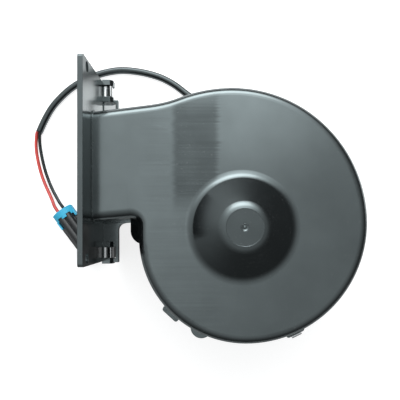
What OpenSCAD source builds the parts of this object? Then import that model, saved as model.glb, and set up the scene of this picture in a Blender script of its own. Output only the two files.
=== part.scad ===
// Heater blower motor: a single scroll housing in two clipped halves, with a
// forward-curved wheel, a permanent magnet motor in the inlet and a two-wire lead.
// Sizes are in millimetres. The origin is the centre of the outlet flange's sealing
// face, X runs from the flange into the blower and Z runs along the fan axis.

/* [Outlet flange] */
// Height of the flange plate along Y
flange_h = 155; // [145:1:170]
// Depth of the flange plate along Z, its rear edge is what the blower stands on
flange_d = 136; // [130:1:146]
// Thickness of the flange plate
flange_t = 4; // [3:0.5:6]
// Rounding of the plate's four corners
flange_corner_r = 2.5; // [2:0.5:8]
// Distance of the corner holes from the plate's top and bottom edges
bolt_in_y = 6; // [5.5:0.5:14]
// Distance of the corner holes from the plate's front and rear edges
bolt_in_z = 12; // [6:0.5:16]
// Diameter of the corner holes
bolt_hole_d = 8; // [5:0.5:9]

/* [Scroll housing] */
// Depth of the scroll over both faces
housing_depth = 85; // [80:1:90]
// Moulded wall thickness
wall = 2.5; // [2:0.1:3]
// Rounding of the scroll's outer edges
edge_r = 7.5; // [5:0.5:9]
// Distance from the flange's face to the fan axis
fan_x = 121.5; // [118:0.5:128]
// Distance of the fan axis below the flange's centre
fan_drop = 48.5; // [46:0.5:52]
// Outside radius of the scroll's first quarter, next to the tongue
volute_r = 85.1; // [83:0.1:88]
// Growth of the scroll's radius from one quarter to the next
volute_step = 11; // [9:0.5:12]
// Shift of the scroll's centres from the fan axis along X
volute_dx = -2.2; // [-5:0.1:0]
// Shift of the scroll's centres from the fan axis along Y
volute_dy = -1.6; // [-3:0.1:1]

/* [Outlet neck] */
// Outside height of the neck at the flange
neck_h = 87; // [80:0.5:92]
// Rise of the neck's top wall away from the flange, in degrees
neck_rise_top = 7.1; // [5:0.1:9]
// Rise of the neck's bottom wall away from the flange, in degrees
neck_rise_bottom = 5; // [3:0.1:6]
// Radius of the hollow blend between neck and scroll
blend_r = 100; // [80:1:120]
// Radius of the hollow corner under the tongue
tongue_r = 6; // [5:0.5:8]
// Fillet where the neck runs into the flange plate
neck_fillet_r = 1; // [0.5:0.5:4]

/* [Dome over the hub] */
// Radius where the cone would meet the front face
dome_r = 41.4; // [38:0.1:44]
// Height of the dome above the front face
dome_h = 21; // [16:0.5:23]
// Slope of the cone, in degrees
dome_slope = 40; // [36:1:44]
// Hollow fillet at the foot of the cone
dome_foot_r = 10; // [6:0.5:12]
// Rounding of the dome's top edge
dome_edge_r = 12; // [8:0.5:14]

/* [Joint rim and clips] */
// Width of the rim on the joint plane
lip_w = 2.5; // [2:0.1:3]
// Thickness of the rim on each half
lip_t = 2.5; // [2:0.1:3]
// Extra thickness of the webs, the clip seats and the ear over the rim
seat_step = 0.5; // [0.2:0.1:1]
// Reach of the webs from the flange plate
web_w = 12.8; // [11:0.1:14]
// Distance of the flange clips' seats from the flange plate
clip_edge = 6.3; // [6:0.1:7]
// Reach of a clip seat from the scroll's wall
seat_reach = 9.5; // [9:0.5:12]
// Length of a clip seat along the rim
seat_l = 17; // [15:0.5:20]
// Width of a spring clip
clip_w = 9; // [7:0.5:10]
// Thickness of the clip's steel strip
clip_t = 0.8; // [0.5:0.1:1]
// Distance of the flange clips from the flange's centre
clip_y = 70; // [66:0.5:72]

/* [Inlet and motor cradle] */
// Radius of the inlet's throat
inlet_r = 54; // [52:0.5:55]
// Radius of the rolled inlet edge
inlet_round = 8; // [6:0.5:9]
// Thickness of the three cradle arms
arm_t = 5; // [4:0.5:7]
// Distance of the motor's three fixing points from the axis
ear_r = 43; // [42:0.5:45]

/* [Blower wheel] */
// Outside radius of the wheel
wheel_r = 70; // [66:0.5:72]
// Length of the blades between the wheel's two rings
blade_l = 55; // [50:1:56]
// Radial depth of the blades
blade_depth = 13; // [11:0.5:14]
// Radius of each blade's curve
blade_r = 9; // [8.5:0.1:10]
// Thickness of a blade
blade_t = 1.4; // [1.2:0.1:1.8]
// Number of blades
blade_count = 40; // [30:1:44]

/* [Motor] */
// Outside radius of the motor's steel can
can_r = 30; // [29:0.1:31]
// Length of the can
can_l = 76; // [70:1:78]
// Thickness of the can's wall
can_wall = 2; // [1.5:0.1:2.5]
// Height of the end bell behind the can
bell_h = 16; // [15:0.5:18]
// Radius of the shaft
shaft_r = 4; // [3.5:0.1:4.5]
// Running clearance between shaft and bearing, on the radius
bearing_gap = 0.03; // [0.02:0.01:0.08]
// Air gap between the armature and the magnets
air_gap = 0.7; // [0.5:0.1:1]
// Number of armature slots and commutator bars
slot_count = 12; // [10:1:14]

/* [Lead and connector] */
// Outside diameter of the lead's sleeve
sleeve_d = 7; // [6:0.1:7]
// Outside diameter of each wire
wire_d = 3.2; // [2.8:0.1:3.3]
// Spacing of the two wires in the connector
wire_pitch = 6.6; // [6.2:0.1:7]
// Width of the connector
conn_w = 21.6; // [20:0.1:23]
// Length of the connector's black body
conn_l = 52; // [50:1:56]
// Height of the connector's block
conn_h = 10; // [9.5:0.1:11]
// Length of the blue secondary lock
lock_l = 9; // [8:0.5:10]

/* [Hidden] */
$fn = 96;
half = housing_depth / 2;
rest_z = -flange_d / 2;
fan = [fan_x, -fan_drop];
bite = 0.6;
deep = 75;
skin = 0.02;
overlap = 0.4;
mouth_step = 0.4;
seam_in = 0.3;
seam_skin = 0.05;
seat_t = lip_t + seat_step;

// The scroll's four arcs: quarters three, four, one and two, each from its own centre.
arc_shift = volute_step / 2;
arc_mid = fan + [volute_dx, volute_dy];
arc_c = [
    arc_mid + [arc_shift, -arc_shift],
    arc_mid + [arc_shift, arc_shift],
    arc_mid + [-arc_shift, arc_shift],
    arc_mid + [-arc_shift, -arc_shift]
];
arc_r = [for (k = [0:3]) volute_r + k * volute_step];
arc_from = [180, 270, 0, 90];

// The neck's top wall and the hollow blend that carries it into the last arc.
top_p = [flange_t, neck_h / 2];
top_dir = [cos(neck_rise_top), sin(neck_rise_top)];
top_n = [-sin(neck_rise_top), cos(neck_rise_top)];
last_u = (arc_c[3] - top_p) * top_dir;
last_v = (arc_c[3] - top_p) * top_n;
blend_u = last_u - sqrt(pow(arc_r[3] + blend_r, 2) - pow(blend_r - last_v, 2));
blend_c = top_p + blend_u * top_dir + blend_r * top_n;
blend_to = atan2(arc_c[3][1] - blend_c[1], arc_c[3][0] - blend_c[0]);
blend_from = neck_rise_top - 90;
last_end = blend_to + 180;

// The neck's bottom wall and the hollow corner under the tongue.
low_p = [flange_t, -neck_h / 2];
low_dir = [cos(neck_rise_bottom), sin(neck_rise_bottom)];
tongue_x = arc_c[0][0] - arc_r[0];
tongue_drop = (tongue_x - tongue_r - flange_t) * tan(neck_rise_bottom)
    - tongue_r / cos(neck_rise_bottom);
tongue_c = [tongue_x - tongue_r, low_p[1] + round(tongue_drop * 100) / 100];
low_u = (tongue_c - low_p) * low_dir;

// Centres of the dome's two fillets, and the flat rim round its foot.
dome_rim = 3;
dome_n = [sin(dome_slope), cos(dome_slope)];
dome_top = half + dome_h;
foot_c = [dome_r + dome_foot_r * tan(dome_slope / 2), half + dome_foot_r];
edge_c = [
    dome_r - dome_h / tan(dome_slope) - dome_edge_r * tan(dome_slope / 2),
    dome_top - dome_edge_r
];

// Clip seats on the rim: the arc each one sits on, its direction from that arc's centre, its extra
// reach, and whether it holds a clip.
seats = [[0, 227.5, 0, 0], [1, 296, 2, 1], [1, 348, 0, 1], [2, 52, 0, 1], [2, 88, 0, 1]];
seat_fn = 32;
ear_at = [0, 246];
ear_lug_r = 9.5;
ear_out = 2.1;
pin_r = 2;
pin_gap = 0.1;
rib_t = 2;
rib_h = 5;
guide_t = 4.5;
guide_h = 6;
guide_gap = 0.5;
guide_reach = clip_edge + 2.4;
guide_cut = 2.5;
strip_w = 2.2;
ledge_w = 0.8;
web_fillet_r = 6;
window_in = 5;
gusset_w = 12;
gusset_r = 11.5;
gusset_drop = 4;
gusset_rise = 6;

// A spring clip's legs dip onto the rims, rise to a bend and turn into the flat back.
clip_gap = 0.05;
dip_r = 5;
dip_x = -3.6;
dip_in = 20;
dip_out = 35;
bend_r = 0.6;
back_skin = 0.03;
back_in = 0.25;
dip_c = [dip_x, seat_t + clip_gap + clip_t + dip_r];
bend_c = dip_c + (dip_r + clip_t + bend_r) * [sin(dip_out), -cos(dip_out)];

// The shallow recess and the gate mark on the dome's top.
recess_r = edge_c[0] + 2;
recess_d = 0.4;
gate_r = 3;
gate_d = 0.8;
gate_pip_r = 1.1;

// Motor levels, from the surface that it stands on up to the wheel's hub.
joint_z = rest_z + bell_h;
can_top = joint_z + can_l;
plate_z = joint_z + 4.4;
plate_t = 1.6;
rubber_t = 2;
boss_z = plate_z + plate_t + rubber_t;
boss_top = boss_z + 10;
cradle_gap = 1.5;
cradle_t = 3;
cradle_seat = 0.15;
cradle_boss_r = 6;
arm_rise = 1.5;
throat_l = 3;
arm_top = -half + inlet_round + throat_l - 1;
inlet_flat = 4;
inlet_seat = 0.1;
ear_angles = [30, 150, 270];
screw_r = 2.2;
rubber_bore_r = 2.3;
rubber_neck_r = 3.6;
rubber_r = 6.5;
bush_r = 7;
bush_l = 10;
bush_seat_r = 10;
rear_bush_z = rest_z + 4;
core_rise = 30;
core_z = joint_z + core_rise;
core_l = 32;
magnet_t = 6;
core_r = can_r - can_wall - magnet_t - air_gap;
magnet_z = core_z - 4;
magnet_l = core_l + 8;
comm_in = 19;
comm_r = can_r - comm_in;
comm_z = joint_z + 2;
comm_l = 14;
slot_r = 2.4;
slot_in = 5;
slot_at = core_r - slot_in;
coil_r = 2.2;
coil_end_r = 3.5;
coil_end_in = 1.5;
bolt_r = 2;
bolt_at = (core_r + can_r - can_wall) / 2;
bolt_gap = 0.2;
bolt_head_r = 3.4;
bolt_head_h = 2.6;
bolt_sink = 0.6;
screw_head_r = 4.6;
screw_head_h = 2.8;
screw_in = 8;
card_t = 1.6;
brush_w = 8.6;
brush_h = 7.6;
brush_l = 9;
brush_gap = 0.3;
box_wall = 1;
box_play = 0.2;
box_l = 12;
brush_angle = 90;
spring_t = 0.35;
spring_gap = 0.05;

// Wheel levels, from its rear ring to its hub.
wheel_z = -half + 13;
ring_t = 2;
back_z = wheel_z + blade_l;
hub_r = 9;
hub_top = dome_top - 8.5;
hub_gap = 8;
hub_l = hub_top - (can_top - can_wall + bush_l) - hub_gap;
hub_rib = 0.4;
cone_t = 2.2;
cone_r = 52;
blade_in = wheel_r - blade_depth;
blade_c = [blade_in + 5, 8];
shaft_top = hub_top + 2;

// The lead leaves the end bell along Y. Its route is measured from the motor's rear face.
exit_y = can_r + 1.5;
exit_h = 8;
grommet_l = 8.5;
lead_o = [fan_x, -fan_drop, rest_z];
sleeve_route = [
    [0, exit_y + grommet_l, exit_h], [0, 47, 8], [0, 58, 7], [-0.8, 71, 5], [-3, 84.5, 3.7],
    [-8, 97.5, 3.6], [-15, 109.5, 3.6], [-24.5, 120, 3.6], [-35.5, 129, 3.6], [-48, 138, 3.6],
    [-60, 147, 3.6], [-73, 154, 3.6], [-87, 158.5, 3.6], [-101.5, 161.2, 3.6], [-115.5, 162, 3.6],
    [-129.5, 160, 3.6], [-143, 156, 3.6], [-155.5, 150.3, 3.6], [-167, 143, 3.6], [-177.5, 133.5, 3.6],
    [-186, 123.5, 3.6], [-193, 111.5, 3.6], [-199, 98.5, 3.6]
];
conn_o = [-175, 17.7, 0];
conn_dir = [0.6, -0.8, 0];
conn_side = [0.8, 0.6, 0];
conn_turn = atan2(conn_dir[1], conn_dir[0]);
wire_z = 7;
red_in = conn_o - conn_side * wire_pitch / 2 + [0, 0, wire_z];
black_in = conn_o + conn_side * wire_pitch / 2 + [0, 0, wire_z];
red_route = [
    [-200.5, 99.2, 3.6], [-201.7, 96.6, 3.5], [-202.8, 86, 2.4], [-202.4, 77.5, 1.8], [-200.9, 69, 1.8],
    [-199, 61, 1.8], [-196.4, 52.5, 2], [-192.8, 44, 2.8], [-188.8, 36, 4], [-184.8, 28, 5.6],
    red_in - 6 * conn_dir, red_in + lock_l * conn_dir
];
black_route = [
    [-197.5, 97.8, 3.6], [-198.7, 95.2, 3.5], [-198.9, 87.5, 2.4], [-197.9, 78.5, 1.8], [-196.2, 69.8, 1.8],
    [-194, 61, 1.8], [-191.2, 52.5, 2], [-187.8, 44.3, 2.8], [-183.9, 36.8, 4], [-179.6, 29.8, 5.6],
    black_in - 6 * conn_dir, black_in + lock_l * conn_dir
];
hole_play = 0.5;
lock_lift = 0.3;
lock_h = 13.4;
lock_arch_r = 12.7;
lock_notch = 2.8;
arm_l = 8;
arm_w = 1.6;
arm_h = 8.6;
arm_short = 4;
seal_r = 3;
seal_l = 6;
ridge_r = 4.6;
ridge_l = 46;
ridge_back = 2.4;
ridge_drop = 1.6;
blade_tab = [conn_l - seal_l - 2, 5, 2.4];
crimp = [8, 3.2, 4];

// Section of a wall: a slab from the middle out to its reach, with the outer top edge rounded.
module edge_section(reach, top, round, low = 0) {
    if (round > 0) {
        translate([0, low])
            square([reach - round, top - low]);
        translate([0, low])
            square([reach, top - round - low]);
        translate([reach - round, top - round])
            circle(round);
    } else {
        translate([0, low])
            square([reach, top - low]);
    }
}

// Section of the moulding that follows the scroll's outline: face, rounded edge, wall and rim.
// The stretches that join two others are thinner by skin on each side and run into them.
module wall_section(reach, skin) {
    translate([0, half - wall + skin])
        square([reach - edge_r, wall - 2 * skin]);
    translate([reach - edge_r, half - edge_r])
        intersection() {
            difference() {
                circle(edge_r - skin);
                circle(edge_r - wall + skin);
            }
            square(edge_r);
        }
    translate([reach - wall + skin, 0])
        square([wall - 2 * skin, half - edge_r]);
    translate([reach - wall + skin, 0])
        square([wall + lip_w - 2 * skin, lip_t - skin]);
}

// A stretch of the moulding that bulges outward about its centre.
module bulge(c, r, from, to) {
    translate([c[0], c[1], 0])
        rotate([0, 0, from])
            rotate_extrude(angle = to - from)
                wall_section(r, 0);
}

// A stretch that curves inward: its wall stands at radius r and its face lies outside.
module hollow(c, r, from, to, skin) {
    translate([c[0], c[1], 0])
        rotate([0, 0, from])
            rotate_extrude(angle = to - from)
                translate([r + deep, 0])
                    mirror([1, 0])
                        wall_section(deep, skin);
}

// A straight stretch along X with its wall on the +Y side.
module straight(l, depth, skin) {
    rotate([90, 0, 90])
        linear_extrude(l)
            translate([-depth, 0])
                wall_section(depth, skin);
}

// The front half's moulding: four arcs, the blend, the tongue's corner and the neck.
module scroll_shell() {
    lead = flange_t / 2;
    for (k = [0:3])
        bulge(arc_c[k], arc_r[k], arc_from[k], k == 3 ? last_end : arc_from[k] + 90);
    hollow(blend_c, blend_r, blend_from - overlap, blend_to + overlap, skin);
    hollow(tongue_c, tongue_r, 0, 90 + neck_rise_bottom, 0);
    translate([top_p[0], top_p[1], 0])
        rotate([0, 0, neck_rise_top])
            translate([-lead, 0, 0])
                straight(blend_u + lead, neck_h * 0.7, 0);
    translate([low_p[0], low_p[1], 0])
        rotate([0, 0, neck_rise_bottom])
            mirror([0, 1, 0])
                translate([-lead, 0, 0])
                    straight(low_u + lead + overlap, neck_h * 0.7, skin);
    translate([tongue_x, arc_c[0][1], 0])
        rotate([0, 0, 90])
            straight(tongue_c[1] - arc_c[0][1], deep, 0);
}

// A rectangle with its two far corners rounded, standing on the X axis.
module half_plate(w, h, r) {
    translate([-w / 2, 0])
        square([w, h - r]);
    translate([-w / 2 + r, 0])
        square([w - 2 * r, h]);
    for (s = [-1, 1])
        translate([s * (w / 2 - r), h - r])
            circle(r);
}

// Half of the flange plate, with its outer corners rounded.
module flange_half() {
    rotate([90, 0, 90])
        linear_extrude(flange_t)
            half_plate(flange_h, flange_d / 2, flange_corner_r);
}

// Section of the fillet between the neck and the plate.
module fillet_section() {
    difference() {
        translate([-bite, -bite])
            square(neck_fillet_r + bite);
        translate([neck_fillet_r, neck_fillet_r])
            circle(neck_fillet_r);
    }
}

// The fillet round three sides of the neck's root.
module neck_root() {
    side = neck_h / 2 - edge_r;
    for (s = [0, 1])
        mirror([0, s, 0]) {
            translate([flange_t, neck_h / 2, 0])
                linear_extrude(half - edge_r)
                    fillet_section();
            translate([flange_t, side, half - edge_r])
                rotate([90, 0, 90])
                    rotate_extrude(angle = 90)
                        translate([edge_r, 0])
                            rotate(90)
                                mirror([0, 1])
                                    fillet_section();
        }
    translate([flange_t, side, half])
        rotate([90, 0, 0])
            linear_extrude(2 * side)
                fillet_section();
}

// A clip seat on the rim: a rounded tab with two ribs that keep the clip in place.
module clip_seat(k, a, extra) {
    reach = seat_reach + extra;
    translate([arc_c[k][0], arc_c[k][1], 0])
        rotate([0, 0, a]) {
            linear_extrude(seat_t) {
                translate([arc_r[k] - 1, -seat_l / 2])
                    square([reach - 1, seat_l]);
                translate([arc_r[k] - 1, -seat_l / 2 + 2])
                    square([reach + 1, seat_l - 4]);
                for (s = [-1, 1])
                    translate([arc_r[k] + reach - 2, s * (seat_l / 2 - 2)])
                        circle(2, $fn = seat_fn);
            }
            for (s = [-1, 1])
                translate([arc_r[k] - 1, s * (clip_w / 2 + guide_gap + rib_t / 2) - rib_t / 2, 0])
                    cube([reach - 1, rib_t, rib_h]);
        }
}

// The web between the plate and the neck, with the two guides of a flange clip. The upper one is
// open between the neck and the clip, the lower one carries on past the clip.
module flange_web(open) {
    from_y = neck_h / 2 + 0.8;
    start_y = clip_y - clip_w / 2 - guide_gap - guide_t;
    end_y = clip_y + clip_w / 2 + guide_gap + guide_t;
    to_y = open ? start_y + strip_w : end_y - 1;
    linear_extrude(seat_t)
        difference() {
            union() {
                translate([flange_t - bite, from_y])
                    square([web_w + bite, to_y - from_y]);
                translate([flange_t - bite, start_y])
                    square([guide_reach + bite, end_y - start_y]);
                translate([flange_t + web_w, neck_h / 2 + 1])
                    difference() {
                        translate([-bite, -1])
                            square([web_fillet_r + bite, web_fillet_r + 1]);
                        translate([web_fillet_r, web_fillet_r])
                            circle(web_fillet_r);
                    }
            }
            translate([flange_t + clip_edge, clip_y - clip_w / 2 - guide_gap])
                square([open ? web_w : web_w - clip_edge - strip_w, clip_w + 2 * guide_gap]);
            if (open)
                translate([flange_t + ledge_w, neck_h / 2 + window_in])
                    square([web_w - ledge_w - strip_w, start_y - neck_h / 2 - window_in]);
        }
    for (y = [start_y, end_y - guide_t])
        translate([flange_t - bite, y, 0])
            rotate([-90, 0, 0])
                linear_extrude(guide_t)
                    polygon([
                        [0, 0], [guide_reach + bite, 0], [guide_reach + bite, guide_cut - guide_h],
                        [guide_reach + bite - guide_cut, -guide_h], [0, -guide_h]
                    ]);
}

// The gusset in the corner between the neck and the scroll, rising toward the scroll's wall.
module tongue_web() {
    top = tongue_r + 0.5;
    translate([tongue_x, tongue_c[1], 0])
        intersection() {
            linear_extrude(seat_t + gusset_rise + 1)
                difference() {
                    union() {
                        translate([-gusset_w, -gusset_drop])
                            square([gusset_w + 1, gusset_drop + top]);
                        intersection() {
                            translate([gusset_r - gusset_w, -gusset_drop])
                                circle(gusset_r);
                            translate([-gusset_w, -gusset_drop - gusset_r])
                                square([gusset_w + 1, gusset_r]);
                        }
                    }
                    translate([-tongue_r, 0])
                        difference() {
                            square(2 * gusset_w);
                            circle(tongue_r + 1);
                        }
                }
            rotate([90, 0, 0])
                linear_extrude(4 * gusset_w, center = true)
                    polygon([
                        [-gusset_w - 1, 0], [-gusset_w - 1, seat_t], [2, seat_t + gusset_rise], [2, 0]
                    ]);
        }
}

// What the two halves share: scroll, neck, plate, rim, webs, clip seats and the locating ear.
module half_housing() {
    difference() {
        union() {
            scroll_shell();
            flange_half();
            neck_root();
            flange_web(true);
            mirror([0, 1, 0])
                flange_web(false);
            tongue_web();
            for (s = seats)
                clip_seat(s[0], s[1], s[2]);
            translate([arc_c[ear_at[0]][0], arc_c[ear_at[0]][1], 0])
                rotate([0, 0, ear_at[1]]) {
                    translate([arc_r[ear_at[0]] + ear_out, 0, 0])
                        cylinder(r = ear_lug_r, h = seat_t);
                    translate([arc_r[ear_at[0]] - 1, -ear_lug_r, 0])
                        cube([ear_out + 1, 2 * ear_lug_r, seat_t]);
                }
        }
        translate([-1, 0, -1])
            rotate([90, 0, 90])
                linear_extrude(flange_t + 1 + bite)
                    half_plate(
                        neck_h - 2 * (wall + mouth_step), half - wall - mouth_step + 1, edge_r - wall
                    );
        for (s = [-1, 1])
            translate([-1, s * (flange_h / 2 - bolt_in_y), flange_d / 2 - bolt_in_z])
                rotate([0, 90, 0])
                    cylinder(d = bolt_hole_d, h = flange_t + 2);
    }
}

// A ring between two radii about a centre, kept inside a wedge.
module arc_band(c, r1, r2, wedge) {
    intersection() {
        translate(c)
            difference() {
                circle(r2);
                circle(r1);
            }
        polygon([for (v = concat([[0, 0]], wedge)) c + 40 * v]);
    }
}

// A strip buried across the line along n on which two stretches of a wall meet.
module seam_strip(c, n, r1, r2) {
    along = seam_in * [n[1], -n[0]];
    a = c + (r1 + seam_skin) * n;
    b = c + (r2 - seam_skin) * n;
    polygon([a - along, a + along, b + along, b - along]);
}

// Section of the dome's wall: ring on the face, foot fillet, cone, rounded edge and top.
module dome_section() {
    for (n = [[0, -1], -dome_n])
        seam_strip(foot_c, n, dome_foot_r, dome_foot_r + wall);
    for (n = [dome_n, [0, 1]])
        seam_strip(edge_c, n, dome_edge_r - wall, dome_edge_r);
    translate([foot_c[0], half - wall])
        square([dome_rim, wall]);
    translate([foot_c[0] + 1, half - wall + skin])
        square([dome_rim - 1 + overlap, wall - 2 * skin]);
    arc_band(foot_c, dome_foot_r, dome_foot_r + wall, [[0, -1], [-0.7, -1], -dome_n]);
    polygon([
        foot_c - dome_foot_r * dome_n, foot_c - (dome_foot_r + wall) * dome_n,
        edge_c + (dome_edge_r - wall) * dome_n, edge_c + dome_edge_r * dome_n
    ]);
    arc_band(edge_c, dome_edge_r - wall, dome_edge_r, [dome_n, [0.7, 1], [0, 1]]);
    translate([0, dome_top - wall])
        square([edge_c[0], wall]);
}

module front_housing() {
    color("#1d2022") {
        difference() {
            half_housing();
            translate([fan_x, -fan_drop, half - wall - 1])
                cylinder(r = foot_c[0] + dome_rim, h = wall + 2);
        }
        difference() {
            translate([fan_x, -fan_drop, 0])
                rotate_extrude()
                    dome_section();
            translate([fan_x, -fan_drop, dome_top - recess_d])
                cylinder(r = recess_r, h = 1);
            translate([fan_x, -fan_drop, dome_top - recess_d - gate_d])
                difference() {
                    cylinder(r = gate_r, h = 2);
                    translate([0, 0, -1])
                        cylinder(r = gate_pip_r, h = 1.5);
                }
        }
        translate([arc_c[ear_at[0]][0], arc_c[ear_at[0]][1], 0])
            rotate([0, 0, ear_at[1]])
                translate([arc_r[ear_at[0]] + ear_out, 0, -seat_t])
                    cylinder(r = pin_r, h = seat_t + 1);
    }
}

module rear_housing() {
    color("#1b1e20")
        difference() {
            mirror([0, 0, 1])
                half_housing();
            translate([fan_x, -fan_drop, -half - 1])
                cylinder(r = inlet_r + inlet_round + inlet_flat, h = wall + 2);
            translate([arc_c[ear_at[0]][0], arc_c[ear_at[0]][1], 0])
                rotate([0, 0, ear_at[1]])
                    translate([arc_r[ear_at[0]] + ear_out, 0, -seat_t - 1])
                        cylinder(r = pin_r + pin_gap, h = seat_t + 2);
        }
}

// The rolled edge of the inlet with its short throat, set into the rear half's face.
module inlet_ring() {
    mid = [inlet_r + inlet_round, -half + inlet_round];
    color("#1b1e20")
        translate([fan_x, -fan_drop, 0])
            rotate_extrude() {
                intersection() {
                    difference() {
                        translate(mid)
                            circle(inlet_round);
                        translate(mid)
                            circle(inlet_round - wall);
                    }
                    translate([inlet_r, -half])
                        square(inlet_round);
                }
                translate([inlet_r, mid[1]])
                    square([wall, throat_l]);
                translate([mid[0], -half])
                    square([inlet_flat - inlet_seat, wall]);
            }
}

// The ring that holds the motor and its three arms, which end at the inlet's throat.
module motor_cradle() {
    ring_r = can_r + cradle_gap;
    arm_z = boss_z + arm_rise;
    color("#1b1e20")
        translate([fan_x, -fan_drop, 0])
            difference() {
                union() {
                    translate([0, 0, boss_z])
                        cylinder(r = ring_r + cradle_t, h = boss_top - boss_z);
                    for (a = ear_angles)
                        rotate([0, 0, a]) {
                            translate([ring_r, -arm_t / 2, arm_z])
                                cube([inlet_r - ring_r + 1, arm_t, arm_top - arm_z]);
                            translate([ear_r, 0, boss_z])
                                cylinder(r = cradle_boss_r, h = boss_top - boss_z);
                        }
                }
                translate([0, 0, boss_z - 1])
                    cylinder(r = ring_r, h = boss_top - boss_z + 5);
                for (a = ear_angles)
                    rotate([0, 0, a])
                        translate([ear_r, 0, boss_z - 1])
                            cylinder(r = screw_r, h = screw_in + 1);
                translate([0, 0, boss_z - 1])
                    difference() {
                        cylinder(r = inlet_r + 5, h = arm_top - boss_z + 2);
                        translate([0, 0, -1])
                            cylinder(r = inlet_r - cradle_seat, h = arm_top - boss_z + 4);
                    }
            }
}

// Section of a spring clip on two rims, X outward from the rims' edge.
module clip_section() {
    for (s = [0, 1])
        mirror([0, s]) {
            arc_band(
                dip_c, dip_r, dip_r + clip_t,
                [[-sin(dip_in), -cos(dip_in)], [0, -1.2], [sin(dip_out), -cos(dip_out)]]
            );
            arc_band(
                bend_c, bend_r, bend_r + clip_t,
                [[-sin(dip_out), cos(dip_out)], [0, 1.2], [1, 1], [1, 0]]
            );
        }
    translate([bend_c[0] + bend_r + back_skin, -bend_c[1] - back_in])
        square([clip_t - 2 * back_skin, 2 * (bend_c[1] + back_in)]);
}

module spring_clip() {
    rotate([90, 0, 0])
        linear_extrude(clip_w, center = true)
            clip_section();
}

module housing_clips() {
    color("#c9ccce") {
        for (s = seats)
            if (s[3] == 1)
                translate([arc_c[s[0]][0], arc_c[s[0]][1], 0])
                    rotate([0, 0, s[1]])
                        translate([arc_r[s[0]] + seat_reach + s[2], 0, 0])
                            spring_clip();
        for (s = [-1, 1])
            translate([flange_t + clip_edge, s * clip_y, 0])
                spring_clip();
    }
}

// One forward-curved blade, seen along the axis.
module blade_section() {
    intersection() {
        difference() {
            translate(blade_c)
                circle(blade_r);
            translate(blade_c)
                circle(blade_r - blade_t);
        }
        difference() {
            circle(wheel_r - 0.4);
            circle(blade_in);
        }
        translate([blade_in - 10, blade_c[1] - 12])
            square([blade_depth + 20, 11]);
    }
}

module blower_wheel() {
    color("#2a2d30")
        translate([fan_x, -fan_drop, 0]) {
            difference() {
                union() {
                    for (i = [0:blade_count - 1])
                        rotate([0, 0, i * 360 / blade_count])
                            translate([0, 0, wheel_z - 0.5])
                                linear_extrude(blade_l + 1)
                                    blade_section();
                    rotate_extrude()
                        polygon([
                            [hub_r - 1, hub_top - 3], [hub_r + 4, hub_top - 1.2],
                            [cone_r, back_z + ring_t], [wheel_r, back_z + ring_t], [wheel_r, back_z],
                            [cone_r - 1, back_z], [hub_r + 3.5, hub_top - 1.2 - cone_t],
                            [hub_r - 1, hub_top - 3 - cone_t]
                        ]);
                    translate([0, 0, wheel_z - ring_t])
                        difference() {
                            cylinder(r = wheel_r, h = ring_t);
                            translate([0, 0, -1])
                                cylinder(r = wheel_r - 9, h = ring_t + 2);
                        }
                    translate([0, 0, hub_top - hub_l])
                        cylinder(r = hub_r, h = hub_l);
                    for (a = [0:60:300])
                        rotate([0, 0, a])
                            translate([hub_r - 0.5, -0.9, hub_top - hub_l])
                                cube([8, 1.8, hub_rib * hub_l]);
                }
                translate([0, 0, hub_top - hub_l - 1])
                    cylinder(r = shaft_r, h = hub_l + 2);
            }
        }
}

module wheel_clip() {
    color("#b9bcbe")
        translate([fan_x, -fan_drop, hub_top])
            difference() {
                cylinder(r = hub_r - 1, h = 0.8);
                translate([0, 0, -1])
                    cylinder(r = shaft_r, h = 3);
                for (a = [0:60:300])
                    rotate([0, 0, a])
                        translate([shaft_r - 1, -0.5, -1])
                            cube([2.6, 1, 3]);
            }
}

module motor_shaft() {
    color("#d5d7d8")
        translate([fan_x, -fan_drop, 0])
            rotate_extrude()
                polygon([
                    [0, rear_bush_z - 0.6], [shaft_r - 0.6, rear_bush_z - 0.6], [shaft_r, rear_bush_z],
                    [shaft_r, shaft_top - 0.8], [shaft_r - 0.8, shaft_top], [0, shaft_top]
                ]);
}

module armature_core() {
    color("#7c8084")
        translate([fan_x, -fan_drop, core_z])
            linear_extrude(core_l)
                difference() {
                    circle(core_r);
                    circle(shaft_r);
                    for (i = [0:slot_count - 1])
                        rotate(i * 360 / slot_count) {
                            translate([slot_at, 0])
                                circle(slot_r);
                            translate([slot_at, -0.9])
                                square([8, 1.8]);
                        }
                }
}

// A rounded coil end, from the core's face outward.
module coil_end() {
    rotate_extrude() {
        translate([slot_at - coil_end_in - coil_end_r, 0])
            square([2 * coil_end_r, coil_end_r]);
        translate([slot_at - coil_end_in, coil_end_r])
            circle(coil_end_r);
    }
}

module armature_windings() {
    color("#b5622c")
        translate([fan_x, -fan_drop, core_z]) {
            for (i = [0:slot_count - 1])
                rotate([0, 0, i * 360 / slot_count])
                    translate([slot_at, 0, -2])
                        cylinder(r = coil_r, h = core_l + 4);
            translate([0, 0, core_l + 0.4])
                coil_end();
            translate([0, 0, -0.4])
                mirror([0, 0, 1])
                    coil_end();
        }
}

module commutator() {
    color("#c27a45")
        translate([fan_x, -fan_drop, comm_z])
            difference() {
                union() {
                    cylinder(r = comm_r, h = comm_l);
                    translate([0, 0, comm_l])
                        cylinder(r = comm_r + 1.5, h = 2);
                }
                translate([0, 0, -1])
                    cylinder(r = shaft_r, h = comm_l + 4);
                for (i = [0:slot_count - 1])
                    rotate([0, 0, (i + 0.5) * 360 / slot_count])
                        translate([comm_r - 1, -0.3, -1])
                            cube([4, 0.6, comm_l + 4]);
            }
}

module thrust_washers() {
    color("#8a5a34")
        for (z = [rear_bush_z + bush_l + 0.3, can_top - can_wall - 1.3])
            translate([fan_x, -fan_drop, z])
                difference() {
                    cylinder(r = bush_r + 1, h = 1);
                    translate([0, 0, -1])
                        cylinder(r = shaft_r, h = 3);
                }
}

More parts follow.
